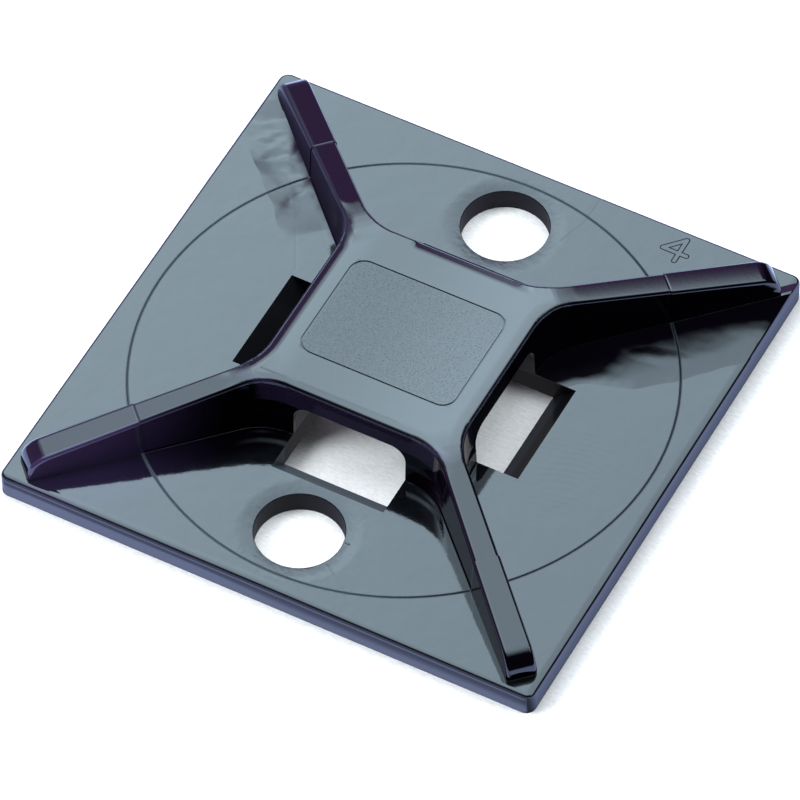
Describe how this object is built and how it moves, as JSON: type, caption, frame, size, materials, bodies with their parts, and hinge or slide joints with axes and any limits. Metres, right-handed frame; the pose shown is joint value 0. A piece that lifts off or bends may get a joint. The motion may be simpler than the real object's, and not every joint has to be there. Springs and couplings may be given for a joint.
{
  "type": "cable tie mount",
  "caption": "Square moulded cable tie mount: a thin plate with screw holes and a raised bridge on diagonal ribs, which takes a tie from either direction.",
  "frame": {"origin": "centre of the base plate's flat underside", "axes": "+Z out of the plate towards the bridge; the screw holes lie on the Y axis; X and Y are parallel to the plate's sides"},
  "size_m": [0.028, 0.028, 0.0044],
  "materials": {
    "nylon": "glossy as moulded, near black"
  },
  "bodies": {
    "root": {"mount": "nylon"}
  },
  "joints": []
}
